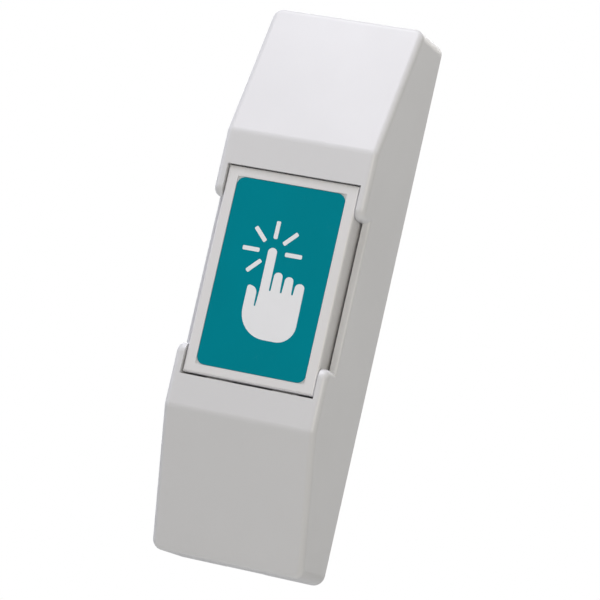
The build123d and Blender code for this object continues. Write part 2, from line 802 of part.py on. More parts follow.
# Soldered pins of the terminal block: a plate in each clamp with a leg to the board
with BuildPart() as block_pins:
    with BuildSketch(Plane.XZ.offset(board_back - pin_reach)):
        with Locations((0, block_leg_height)):
            with GridLocations(block_pitch, 0, block_ways, 1):
                Rectangle(block_pin_width, block_pin_thickness)
    extrude(amount=block_plate_depth - board_back + pin_reach)
    with BuildSketch(Plane.XZ.offset(block_plate_depth)):
        with Locations((0, block_leg_height + block_pin_thickness / 2)):
            with GridLocations(block_pitch, 0, block_ways, 1):
                Rectangle(
                    block_plate_width,
                    clamp_length + block_pin_thickness,
                    align=(Align.CENTER, Align.MAX),
                )
    extrude(amount=block_pin_thickness)
block_pins.part.label = "block_pins"
export_step(block_pins.part, "parts/block_pins.step")
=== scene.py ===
"""Dress, set and light a surface-mounted door exit button with a printed press sign."""

import logging
import math
from dataclasses import dataclass
from enum import Enum
from functools import reduce

import bmesh
import bpy
from mathutils import Matrix, Vector


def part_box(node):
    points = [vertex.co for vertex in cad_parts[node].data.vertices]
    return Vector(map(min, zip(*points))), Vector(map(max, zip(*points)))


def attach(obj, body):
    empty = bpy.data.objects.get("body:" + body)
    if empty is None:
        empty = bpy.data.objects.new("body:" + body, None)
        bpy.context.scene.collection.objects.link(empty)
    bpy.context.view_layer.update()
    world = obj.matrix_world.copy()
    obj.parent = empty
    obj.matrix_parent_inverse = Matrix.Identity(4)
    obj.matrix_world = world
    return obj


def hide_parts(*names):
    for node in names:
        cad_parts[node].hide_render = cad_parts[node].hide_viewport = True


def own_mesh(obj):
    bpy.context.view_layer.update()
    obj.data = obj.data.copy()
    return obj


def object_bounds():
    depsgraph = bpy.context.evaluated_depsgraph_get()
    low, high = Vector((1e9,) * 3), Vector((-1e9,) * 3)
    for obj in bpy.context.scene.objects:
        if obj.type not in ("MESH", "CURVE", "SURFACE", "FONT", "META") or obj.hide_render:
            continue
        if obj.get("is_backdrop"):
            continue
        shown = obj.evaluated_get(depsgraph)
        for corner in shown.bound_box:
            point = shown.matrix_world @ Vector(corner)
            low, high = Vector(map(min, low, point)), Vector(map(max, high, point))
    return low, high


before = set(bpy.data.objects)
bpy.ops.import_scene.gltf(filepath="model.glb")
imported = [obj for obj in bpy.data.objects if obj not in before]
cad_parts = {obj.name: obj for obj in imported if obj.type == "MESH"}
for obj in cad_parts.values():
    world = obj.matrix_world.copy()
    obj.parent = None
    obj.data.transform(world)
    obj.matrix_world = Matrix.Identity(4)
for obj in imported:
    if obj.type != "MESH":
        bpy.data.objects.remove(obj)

Triple = tuple[float, float, float]
Colour = tuple[float, float, float]
Point = tuple[float, float]
Band = tuple[float, float]
Socket = bpy.types.NodeSocket
Value = bpy.types.NodeSocket | float | Colour

MM = 0.001
SAME_PLACE = 0.0001 * MM
CREASE = math.radians(35)
FLOAT, COLOUR = "NodeSocketFloat", "NodeSocketColor"
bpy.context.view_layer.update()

log = logging.getLogger("exit_button")


def srgb(*steps: int) -> Colour:
    """Turn a colour of 0 to 255 steps into the linear values that shaders take."""
    return tuple(
        share / 12.92 if share <= 0.04045 else ((share + 0.055) / 1.055) ** 2.4
        for share in (step / 255 for step in steps)
    )


def dimmed(colour: Colour, share: float) -> Colour:
    """Give back a share of a colour's light."""
    return tuple(share * part for part in colour)


class NodeBench:
    """A small bench for wiring shader nodes in a material, a world or a group."""

    def __init__(self, tree: bpy.types.NodeTree) -> None:
        """Take the node tree of a material, a world or a group to work in."""
        self.tree = tree

    def feed(self, value: Value, target: Socket) -> None:
        """Give an input its value.

        Args:
            value: Output to link to the input, or a number or colour to write in it.
            target: The input.
        """
        if isinstance(value, bpy.types.NodeSocket):
            self.tree.links.new(value, target)
        elif target.type == "RGBA":
            target.default_value = (*value, 1.0)
        else:
            target.default_value = value

    def node(self, kind: str, **settings: object) -> bpy.types.Node:
        """Add a node.

        Args:
            kind: Blender's name of the node type, without ShaderNode.
            **settings: Properties of the node, or values of its inputs, whose names
                then have underscores for spaces and begin with a capital.

        Returns:
            The new node.
        """
        made = self.tree.nodes.new("ShaderNode" + kind)
        for name, value in settings.items():
            if name[0].isupper():
                self.feed(value, made.inputs[name.replace("_", " ")])
            else:
                setattr(made, name, value)
        return made

    def split(self, vector: Socket) -> tuple[Socket, Socket, Socket]:
        """Split a vector into its x, y and z."""
        x, y, z = self.node("SeparateXYZ", Vector=vector).outputs
        return x, y, z

    def ramp(self, value: Socket, low: float, high: float) -> Socket:
        """Stretch a value so that low becomes 0 and high becomes 1."""
        stretch = self.node("MapRange", Value=value, From_Min=low, From_Max=high)
        return stretch.outputs["Result"]

    def maths(self, operation: str, *values: Value) -> Socket:
        """Work on one value, or combine two.

        Args:
            operation: Blender's name of the operation.
            *values: One or two outputs or numbers.

        Returns:
            The result.
        """
        made = self.node("Math", operation=operation)
        for value, target in zip(values, made.inputs):
            self.feed(value, target)
        return made.outputs["Value"]

    def product(self, *values: Value) -> Socket:
        """Multiply values."""
        return reduce(lambda total, value: self.maths("MULTIPLY", total, value), values)

    def blend(
        self, share: Socket, under: Value, over: Value, mode: str = "MIX"
    ) -> Socket:
        """Lay one colour over another by a share.

        Args:
            share: Output with the share of the second colour.
            under: First colour.
            over: Second colour.
            mode: Blender's name of the way in which they mix.

        Returns:
            The mixed colour.
        """
        made = self.node("Mix", data_type="RGBA", blend_type=mode)
        first, second = (place for place in made.inputs if place.type == "RGBA")
        for value, target in ((share, made.inputs[0]), (under, first), (over, second)):
            self.feed(value, target)
        return next(place for place in made.outputs if place.type == "RGBA")


class EffectGroup:
    """A shader node group that several finishes share.

    Attributes:
        name: Name of the group.
        inputs: Name and socket type of each input.
        outputs: Name and socket type of each output.
    """

    name: str
    inputs: dict[str, str]
    outputs: dict[str, str]

    @classmethod
    def tree(cls) -> bpy.types.NodeTree:
        """Find the group's tree, or build it the first time.

        Returns:
            The node tree.
        """
        found = bpy.data.node_groups.get(cls.name)
        if found:
            return found
        made = bpy.data.node_groups.new(cls.name, "ShaderNodeTree")
        for side, sockets in (("INPUT", cls.inputs), ("OUTPUT", cls.outputs)):
            for label, kind in sockets.items():
                made.interface.new_socket(label, in_out=side, socket_type=kind)
        bench = NodeBench(made)
        given = made.nodes.new("NodeGroupInput").outputs
        sink = made.nodes.new("NodeGroupOutput").inputs
        for label, value in cls.wire(bench, given).items():
            bench.feed(value, sink[label])
        return made

    @classmethod
    def wire(cls, bench: NodeBench, given: bpy.types.NodeOutputs) -> dict[str, Socket]:
        """Wire the inside of the group, and say what goes to each output."""
        raise NotImplementedError

    @classmethod
    def place(cls, bench: NodeBench, **values: Value) -> bpy.types.NodeOutputs:
        """Put the group into a material, and give back its outputs."""
        return bench.node("Group", node_tree=cls.tree(), **values).outputs


class MouldSkin(EffectGroup):
    """Skin of a moulded part: fine sparked grain, faint clouds and a few specks.

    Attributes:
        cloud_scale: Clouds in a metre.
        cloud_band: Noise values where a cloud begins and where it is full.
        speck_scale: Cells in a metre that may each hold a speck.
        speck_edge: Distances from a speck's middle where it begins and is full.
        speck_rarity: Values of a cell between which its speck comes in.
        speck_shade: Light that a full speck gives back.
    """

    name = "mould_skin"
    inputs = {
        "Colour": COLOUR,
        "Cloud Colour": COLOUR,
        "Grain Scale": FLOAT,
        "Roughness": FLOAT,
        "Roughness Spread": FLOAT,
        "Specks": FLOAT,
    }
    outputs = {"Colour": COLOUR, "Roughness": FLOAT, "Height": FLOAT}
    cloud_scale: float = 55.0
    cloud_band: Band = (0.3, 0.7)
    speck_scale: float = 420.0
    speck_edge: Band = (0.09, 0.05)
    speck_rarity: Band = (0.88, 0.9)
    speck_shade: Colour = (0.55, 0.52, 0.48)

    @classmethod
    def wire(cls, bench: NodeBench, given: bpy.types.NodeOutputs) -> dict[str, Socket]:
        """Wire grain, clouds and specks from the object's own coordinates.

        Args:
            bench: Bench on the group's tree.
            given: The values given to the group, by name.

        Returns:
            What goes to each of the group's outputs.
        """
        place = bench.node("TexCoord").outputs["Object"]
        scale = given["Grain Scale"]
        grain = bench.node(
            "TexNoise", Vector=place, Scale=scale, Detail=3.0, Roughness=0.6
        )
        cloud = bench.node(
            "TexNoise", Vector=place, Scale=cls.cloud_scale, Detail=4.0, Roughness=0.55
        )
        speck = bench.node("TexVoronoi", Vector=place, Scale=cls.speck_scale)
        cloudy = bench.ramp(cloud.outputs["Fac"], *cls.cloud_band)
        tinted = bench.blend(cloudy, given["Colour"], given["Cloud Colour"])
        near = bench.ramp(speck.outputs["Distance"], *cls.speck_edge)
        rare = bench.ramp(speck.outputs["Color"], *cls.speck_rarity)
        dots = bench.product(near, rare, given["Specks"])
        middle = bench.maths("SUBTRACT", cloud.outputs["Fac"], 0.5)
        swing = bench.product(middle, given["Roughness Spread"], 2.0)
        return {
            "Colour": bench.blend(dots, tinted, cls.speck_shade, "MULTIPLY"),
            "Roughness": bench.maths("ADD", swing, given["Roughness"]),
            "Height": grain.outputs["Fac"],
        }


class HandlingMarks(EffectGroup):
    """Fine hairlines and rubbed patches that handling leaves on a surface.

    Attributes:
        turns: Turn of each set of lines, about x, y and z.
        line_band: Noise values between which a line comes in.
        patch_scale: Patches in a metre.
        patch_band: Noise values where a patch begins and where it is full.
    """

    name = "handling_marks"
    inputs = {"Density": FLOAT, "Scale": FLOAT, "Stretch": FLOAT}
    outputs = {"Mask": FLOAT}
    turns: tuple[Triple, ...] = ((0.2, 0.5, 0.1), (0.2, -0.9, 0.1))
    line_band: Band = (0.66, 0.72)
    patch_scale: float = 90.0
    patch_band: Band = (0.5, 0.65)

    @classmethod
    def wire(cls, bench: NodeBench, given: bpy.types.NodeOutputs) -> dict[str, Socket]:
        """Wire two crossed sets of stretched noise, cut down to thin lines.

        Args:
            bench: Bench on the group's tree.
            given: The values given to the group, by name.

        Returns:
            What goes to each of the group's outputs.
        """
        place = bench.node("TexCoord").outputs["Object"]
        lines = []
        for turn in cls.turns:
            spin = bench.node(
                "VectorRotate", rotation_type="EULER_XYZ", Vector=place, Rotation=turn
            )
            x, y, z = bench.split(spin.outputs["Vector"])
            pulled = bench.node(
                "CombineXYZ", X=bench.product(x, given["Stretch"]), Y=y, Z=z
            )
            noise = bench.node(
                "TexNoise", Vector=pulled.outputs["Vector"], Scale=given["Scale"]
            )
            lines.append(bench.ramp(noise.outputs["Fac"], *cls.line_band))
        patch = bench.node("TexNoise", Vector=place, Scale=cls.patch_scale)
        where = bench.ramp(patch.outputs["Fac"], *cls.patch_band)
        both = bench.maths("MAXIMUM", *lines)
        return {"Mask": bench.product(both, where, given["Density"])}


class SettledDust(EffectGroup):
    """Dust that lies on faces that look up.

    Attributes:
        slope_band: Upward parts of a face's direction where dust begins to lie on it
            and where it is full.
        grain_band: Noise values where a heap of dust begins and where it is full.
    """

    name = "settled_dust"
    inputs = {"Amount": FLOAT, "Scale": FLOAT}
    outputs = {"Mask": FLOAT}
    slope_band: Band = (0.55, 1.0)
    grain_band: Band = (0.45, 0.75)

    @classmethod
    def wire(cls, bench: NodeBench, given: bpy.types.NodeOutputs) -> dict[str, Socket]:
        """Wire a noise that grows where the surface looks up.

        Args:
            bench: Bench on the group's tree.
            given: The values given to the group, by name.

        Returns:
            What goes to each of the group's outputs.
        """
        place = bench.node("TexCoord").outputs["Object"]
        _, _, upward = bench.split(bench.node("NewGeometry").outputs["Normal"])
        noise = bench.node(
            "TexNoise", Vector=place, Scale=given["Scale"], Detail=4.0, Roughness=0.7
        )
        grains = bench.ramp(noise.outputs["Fac"], *cls.grain_band)
        lying = bench.ramp(upward, *cls.slope_band)
        return {"Mask": bench.product(lying, grains, given["Amount"])}


@dataclass(frozen=True)
class Surface:
    """What varies over a surface.

    Attributes:
        colour: Output with its colour.
        roughness: Output with its roughness.
        height: Output with its height, from 0 to 1.
    """

    colour: Socket
    roughness: Socket
    height: Socket


@dataclass(frozen=True)
class Finish:
    """A surface finish that makes one material.

    Attributes:
        name: Name of the material.
        colour: Main linear colour.
        roughness: Mean roughness.
        cloud: Colour of the cloudy patches, or None for a dimmed main colour.
        cloud_share: Light of the cloudy patches where they are a dimmed main colour.
        grain_scale: Grains in a metre.
        relief: Depth of the surface's relief in metres.
        spread: How far the roughness swings to either side.
        specks: Strength of the dark specks.
        specular: Level of the mirror reflection.
        metallic: 1 for a bare metal.
    """

    name: str
    colour: Colour
    roughness: float
    cloud: Colour | None = None
    cloud_share: float = 0.8
    grain_scale: float = 2600.0
    relief: float = 0.002 * MM
    spread: float = 0.1
    specks: float = 0.3
    specular: float = 0.5
    metallic: float = 0.0

    def clouds(self) -> Colour:
        """Colour of the cloudy patches."""
        return self.cloud or dimmed(self.colour, self.cloud_share)

    def material(self) -> bpy.types.Material:
        """Find the material, or make it the first time.

        Returns:
            The material.
        """
        found = bpy.data.materials.get(self.name)
        if found and found.get("finished"):
            return found
        if found:
            found.name = self.name + "_frame"
        made = bpy.data.materials.new(self.name)
        made["finished"] = True
        made.use_nodes = True
        made.diffuse_color = (*self.colour, 1.0)
        self.wire(NodeBench(made.node_tree), made.node_tree.nodes["Principled BSDF"])
        return made

    def wire(self, bench: NodeBench, shader: bpy.types.Node) -> None:
        """Wire the finish into the shader.

        Args:
            bench: Bench on the material's tree.
            shader: The material's surface shader.
        """
        skin = MouldSkin.place(
            bench,
            Colour=self.colour,
            Cloud_Colour=self.clouds(),
            Grain_Scale=self.grain_scale,
            Roughness=self.roughness,
            Roughness_Spread=self.spread,
            Specks=self.specks,
        )
        fresh = Surface(skin["Colour"], skin["Roughness"], skin["Height"])
        surface = self.wear(bench, fresh)
        relief = bench.node("Bump", Distance=self.relief, Height=surface.height)
        for value, target in (
            (self.colour, "Base Color"),
            (self.roughness, "Roughness"),
            (self.specular, "Specular IOR Level"),
            (self.metallic, "Metallic"),
            (surface.colour, "Base Color"),
            (surface.roughness, "Roughness"),
            (relief.outputs["Normal"], "Normal"),
        ):
            bench.feed(value, shader.inputs[target])

    def wear(self, bench: NodeBench, fresh: Surface) -> Surface:
        """Leave the surface as fresh as it is."""
        return fresh


@dataclass(frozen=True)
class HandledFinish(Finish):
    """A finish with the fine hairlines that handling leaves.

    Attributes:
        marks: Share of hairlines.
        marks_scale: Scale of their noise, in a metre.
        marks_stretch: How many times longer than wide they are.
        rubbed: Light of a hairline, as a share of a cloudy patch's.
        line: Colour of a hairline, where it isn't a dimmed cloudy patch's.
        scuffed: Roughness that a full hairline adds.
    """

    marks: float = 0.25
    marks_scale: float = 260.0
    marks_stretch: float = 24.0
    rubbed: float = 0.97
    line: Colour | None = None
    scuffed: float = 0.0

    def wear(self, bench: NodeBench, fresh: Surface) -> Surface:
        """Put the hairlines on the fresh surface.

        Args:
            bench: Bench on the material's tree.
            fresh: The surface without them.

        Returns:
            The surface with them.
        """
        density, scale, stretch = self.marks, self.marks_scale, self.marks_stretch
        marks = HandlingMarks.place(
            bench, Density=density, Scale=scale, Stretch=stretch
        )["Mask"]
        line = self.line or dimmed(self.clouds(), self.rubbed)
        scuffs = bench.product(marks, self.scuffed)
        rough = bench.maths("ADD", fresh.roughness, scuffs)
        return Surface(bench.blend(marks, fresh.colour, line), rough, fresh.height)


@dataclass(frozen=True)
class MouldedPlastic(HandledFinish):
    """Moulded plastic with sparked grain, faint clouds, hairlines and dust.

    Attributes:
        dust: Share of dust on faces that look up.
        dust_scale: Scale of its noise, in a metre.
        dust_colour: Colour of the dust.
        dulled: Roughness that full dust adds.
    """

    grain_scale: float = 1 / (0.35 * MM)
    relief: float = 0.006 * MM
    spread: float = 0.08
    specks: float = 0.05
    scuffed: float = 0.3
    dust: float = 0.15
    dust_scale: float = 1400.0
    dust_colour: Colour = (0.5, 0.48, 0.45)
    dulled: float = 0.8

    def wear(self, bench: NodeBench, fresh: Surface) -> Surface:
        """Put the hairlines and the dust on the fresh surface.

        Args:
            bench: Bench on the material's tree.
            fresh: The surface without them.

        Returns:
            The surface with them.
        """
        marked = super().wear(bench, fresh)
        dust = SettledDust.place(bench, Amount=self.dust, Scale=self.dust_scale)["Mask"]
        colour = bench.blend(dust, marked.colour, self.dust_colour)
        dull = bench.product(dust, self.dulled)
        return Surface(colour, bench.maths("ADD", marked.roughness, dull), fresh.height)


@dataclass(frozen=True)
class PrintedFilm(HandledFinish):
    """Printed plastic film: a slightly mottled colour under a satin laminate."""

    grain_scale: float = 5200.0
    relief: float = 0.0015 * MM
    spread: float = 0.08
    specks: float = 0.04
    specular: float = 0.03
    marks: float = 0.04
    marks_scale: float = 320.0
    line: Colour | None = (0.2, 0.42, 0.45)


@dataclass(frozen=True)
class ScreenInk(Finish):
    """Opaque screen ink with a faint unevenness."""

    cloud_share: float = 0.96
    grain_scale: float = 6500.0
    relief: float = 0.001 * MM
    specks: float = 0.1


class Metal(Enum):
    """Metals inside the button, each with its linear colour."""

    SPRING_STEEL = (0.42, 0.42, 0.44)
    ZINC_PLATE = (0.62, 0.63, 0.66)
    BRASS = (0.72, 0.52, 0.24)


@dataclass(frozen=True)
class DrawnMetal(HandledFinish):
    """Drawn or plated metal with fine lines of tarnish."""

    grain_scale: float = 4200.0
    spread: float = 0.2
    specks: float = 0.5
    metallic: float = 1.0
    marks: float = 0.7
    marks_scale: float = 700.0
    marks_stretch: float = 9.0
    line: Colour | None = (0.2, 0.17, 0.13)


@dataclass(frozen=True)
class BoardMask(Finish):
    """Solder mask over a glass weave, with paler tracks where copper lies under it.

    Attributes:
        track: Colour over a copper track.
        pitch: Distance from one lane of tracks to the next in metres.
        run: Length of a track's straight run in metres.
        edge: Distances from a lane's middle, in lanes, where a track begins and where
            it is full.
        chance: Random values between which a run comes in.
        start: Number of the run at the board's middle.
        shift: Runs by which a lane is moved on from its neighbour.
        weave: Height of the weave as a share of a track's.
    """

    relief: float = 0.03 * MM
    track: Colour = (0.02, 0.19, 0.085)
    pitch: float = 1.6 * MM
    run: float = 7.0 * MM
    edge: Band = (0.17, 0.13)
    chance: Band = (0.52, 0.54)
    start: float = 100.0
    shift: float = 0.37
    weave: float = 0.2

    def tracks(self, bench: NodeBench, across: Socket, along: Socket) -> Socket:
        """Draw parallel tracks, each made of runs that are there or not.

        Args:
            bench: Bench on the material's tree.
            across: Coordinate across the tracks.
            along: Coordinate along the tracks.

        Returns:
            A mask that is 1 on a track.
        """
        lane = bench.maths("DIVIDE", across, self.pitch)
        middle = bench.maths("SUBTRACT", bench.maths("FRACT", lane), 0.5)
        thin = bench.ramp(bench.maths("ABSOLUTE", middle), *self.edge)
        number = bench.maths("FLOOR", lane)
        place = bench.maths("ADD", bench.maths("DIVIDE", along, self.run), self.start)
        place = bench.maths("ADD", place, bench.product(number, self.shift))
        cell = bench.node("CombineXYZ", X=number, Y=bench.maths("FLOOR", place))
        random = bench.node(
            "TexWhiteNoise", noise_dimensions="2D", Vector=cell.outputs["Vector"]
        )
        return bench.product(thin, bench.ramp(random.outputs["Value"], *self.chance))

    def wear(self, bench: NodeBench, fresh: Surface) -> Surface:
        """Put the tracks on the fresh surface.

        Args:
            bench: Bench on the material's tree.
            fresh: The surface without them.

        Returns:
            The surface with them.
        """
        x, _, z = bench.split(bench.node("TexCoord").outputs["Object"])
        upright, level = self.tracks(bench, x, z), self.tracks(bench, z, x)
        copper = bench.maths("MAXIMUM", upright, level)
        height = bench.maths("ADD", bench.product(fresh.height, self.weave), copper)
        colour = bench.blend(copper, fresh.colour, self.track)
        return Surface(colour, fresh.roughness, height)


WHITE_SHELL = MouldedPlastic(
    "white_shell",
    srgb(221, 221, 223),
    0.37,
    cloud=srgb(219, 219, 221),
    marks=0.3,
    dust=0.05,
    specular=0.38,
)
# The cap's white and its cloud colour are a few steps paler than the shell's. This is
# painted light that lifts the cap's rims out of the shade along the gaps round it.
WHITE_CAP = MouldedPlastic(
    "white_cap",
    srgb(229, 228, 229),
    0.36,
    cloud=srgb(227, 226, 227),
    grain_scale=1 / (0.3 * MM),
    relief=0.004 * MM,
    marks=0.35,
    dust=0.05,
    specular=0.45,
)
WHITE_BASE = MouldedPlastic(
    "white_base",
    srgb(228, 228, 228),
    0.5,
    cloud=srgb(222, 222, 221),
    grain_scale=1 / (0.5 * MM),
    relief=0.01 * MM,
    marks=0.4,
)
TEAL_PRINT = PrintedFilm("teal_print", srgb(0, 136, 152), 0.5, cloud=srgb(0, 133, 148))
WHITE_INK = ScreenInk("white_ink", srgb(240, 241, 244), 0.45)
SPRING_WIRE = DrawnMetal("spring_wire", Metal.SPRING_STEEL.value, 0.3)
PLATED_STEEL = DrawnMetal("plated_steel", Metal.ZINC_PLATE.value, 0.28)
CONTACT_BRASS = DrawnMetal("contact_brass", Metal.BRASS.value, 0.32)
GREEN_MASK = BoardMask("green_mask", srgb(12, 92, 52), 0.35)
BLACK_RESIN = MouldedPlastic(
    "black_resin", srgb(34, 34, 36), 0.45, srgb(28, 28, 30), dust=0.05, marks=0.2
)
RED_RESIN = MouldedPlastic(
    "red_resin", srgb(176, 34, 30), 0.4, srgb(160, 28, 26), dust=0.0, marks=0.1
)
GREEN_RESIN = MouldedPlastic(
    "green_resin", srgb(44, 140, 78), 0.42, srgb(38, 128, 70), dust=0.05, marks=0.2
)

Finishes = tuple[tuple[str, Finish], ...]


def dress(node: str, finish: Finish) -> None:
    """Give a node of the frame its finish.

    Args:
        node: Name of the node.
        finish: Finish to wear.
    """
    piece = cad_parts[node]
    material = finish.material()
    if piece.material_slots:
        for place in piece.material_slots:
            place.material = material
    else:
        piece.data.materials.append(material)
    log.info("dressed %s in %s", node, finish.name)


def add_piece(
    shape: bmesh.types.BMesh, name: str, finish: Finish, body: str
) -> bpy.types.Object:
    """Turn a shape into a piece of the button.

    Args:
        shape: The shape, in metres, in the frame. It is used up.
        name: Name of the piece.
        finish: Finish to wear.
        body: Body that it rides on.

    Returns:
        The new object.
    """
    bmesh.ops.recalc_face_normals(shape, faces=shape.faces)
    mesh = bpy.data.meshes.new(name)
    shape.to_mesh(mesh)
    shape.free()
    mesh.materials.append(finish.material())
    piece = bpy.data.objects.new(name, mesh)
    bpy.context.scene.collection.objects.link(piece)
    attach(piece, body)
    log.info("made %s with %d faces", name, len(mesh.polygons))
    return piece


def add_tube(shape: bmesh.types.BMesh, rings: list[list[Vector]]) -> None:
    """Add a skin through rings of points, closed at both ends.

    Args:
        shape: Shape to add to.
        rings: Rings in order, with the same number of points.
    """
    rows = [[shape.verts.new(point) for point in ring] for ring in rings]
    for low, high in zip(rows, rows[1:]):
        for index in range(len(low)):
            after = (index + 1) % len(low)
            shape.faces.new((low[index], low[after], high[after], high[index]))
    shape.faces.new(rows[0])
    shape.faces.new(reversed(rows[-1]))


def turned(middle: Vector, angle: float, radius: float, along: float) -> Vector:
    """Find a point from its place round and along an axis parallel to Y."""
    return middle + Vector((radius * math.cos(angle), along, radius * math.sin(angle)))


def rounded(corners: tuple[Triple, ...], step: float = math.radians(9)) -> list[Point]:
    """Work out a closed outline of straight runs with rounded corners.

    Args:
        corners: For each corner its x, its z and its radius.
        step: Largest turn from one point of a round corner to the next.

    Returns:
        The points in order.
    """
    found: list[Point] = []
    for index, (x, z, radius) in enumerate(corners):
        here = Vector((x, z))
        back = (Vector(corners[index - 1][:2]) - here).normalized()
        ahead = (Vector(corners[(index + 1) % len(corners)][:2]) - here).normalized()
        half = back.angle(ahead) / 2
        reach = radius / math.tan(half)
        centre = here + (back + ahead).normalized() * (radius / math.sin(half))
        first, last = here + back * reach - centre, here + ahead * reach - centre
        start = math.atan2(first.y, first.x)
        turn = math.atan2(last.y, last.x) - start
        turn = (turn + math.pi) % (2 * math.pi) - math.pi
        parts = math.ceil(abs(turn) / step)
        for part in range(parts + 1):
            angle = start + turn * part / parts
            swing = Vector((math.cos(angle), math.sin(angle))) * radius
            found.append(tuple(centre + swing))
    return found


@dataclass(frozen=True)
class HandSign:
    """Printed sign on the label: a pointing hand under six rays.

    All lengths are in millimetres, x to the right and z up from the button's middle.

    Attributes:
        ray_centre: Point from which the rays go out.
        ray_start: Distance from it to a ray's start.
        ray_end: Distance from it to a ray's end.
        ray_width: Width of a ray.
        ray_corner: Radius of a ray's corners.
        ray_angles: Angle of each ray from the right, in degrees.
        ink_height: How far the ink stands out of the label.
        ink_sink: How far it reaches into the label.
        hand: Corners of the hand, each with its x, its z and its radius.
    """

    ray_centre: Point = (-0.88, 4.9)
    ray_start: float = 2.53
    ray_end: float = 5.88
    ray_width: float = 0.8
    ray_corner: float = 0.24
    ray_angles: tuple[float, ...] = (0.0, 45.0, 90.0, 135.0, 180.0, 225.0)
    ink_height: float = 0.012
    ink_sink: float = 0.004
    hand: tuple[Triple, ...] = (
        (-4.15, -11.27, 5.2),
        (-4.15, -1.55, 0.5),
        (-2.2, -2.05, 1.3),
        (-2.12, -5.4, 0.13),
        (-1.82, -5.4, 0.13),
        (-1.68, -2.5, 2.0),
        (-1.72, 5.72, 0.86),
        (0.04, 5.72, 0.86),
        (0.12, -2.2, 0.15),
        (0.46, -2.2, 0.15),
        (0.5, 1.42, 0.8),
        (2.14, 1.42, 0.8),
        (2.3, -2.25, 0.15),
        (2.64, -2.25, 0.15),
        (2.78, 0.95, 0.78),
        (4.38, 0.95, 0.78),
        (4.52, -2.25, 0.15),
        (4.86, -2.25, 0.15),
        (5.0, 0.03, 0.85),
        (6.78, 0.03, 0.85),
        (6.92, -11.32, 3.5),
    )

    def ray(self, angle: float) -> tuple[Triple, ...]:
        """Corners of one ray.

        Args:
            angle: Its angle from the right, in degrees.

        Returns:
            The x, z and radius of its corners.
        """
        along = Vector((math.cos(math.radians(angle)), math.sin(math.radians(angle))))
        across = Vector((-along.y, along.x)) * (self.ray_width / 2)
        centre = Vector(self.ray_centre)
        near, far = centre + along * self.ray_start, centre + along * self.ray_end
        places = (far - across, far + across, near + across, near - across)
        return tuple((*place, self.ray_corner) for place in places)

    def build(self, front: float) -> bmesh.types.BMesh:
        """Build the ink of the hand and the rays.

        Args:
            front: Depth of the label's face in metres, towards the viewer.

        Returns:
            The shape.
        """
        shape = bmesh.new()
        depths = (front + self.ink_sink * MM, front - self.ink_height * MM)
        for corners in (self.hand, *map(self.ray, self.ray_angles)):
            outline = rounded(corners)
            rings = [
                [Vector((x * MM, depth, z * MM)) for x, z in outline]
                for depth in depths
            ]
            add_tube(shape, rings)
        return shape


@dataclass
class DressedUnit:
    """Pieces of the frame that belong together.

    Attributes:
        finishes: Nodes of the frame, each with its finish.
    """

    finishes: Finishes

    def build(self) -> None:
        """Dress every piece."""
        for node, finish in self.finishes:
            dress(node, finish)


@dataclass
class Casing(DressedUnit):
    """The white casing: the cover with its ramps and jaws, and the base plate."""

    finishes: Finishes = (("cover", WHITE_SHELL), ("base_plate", WHITE_BASE))


@dataclass
class PressButton(DressedUnit):
    """The moving button: its cap, the teal label and the printed sign."""

    finishes: Finishes = (("button_cap", WHITE_CAP), ("button_label", TEAL_PRINT))
    ink: ScreenInk = WHITE_INK
    sign: HandSign = HandSign()

    def build(self) -> None:
        """Dress the cap and the label, and print the sign on the label."""
        super().build()
        shape = self.sign.build(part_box("button_label")[0][1])
        add_piece(shape, "hand_sign", self.ink, "button")


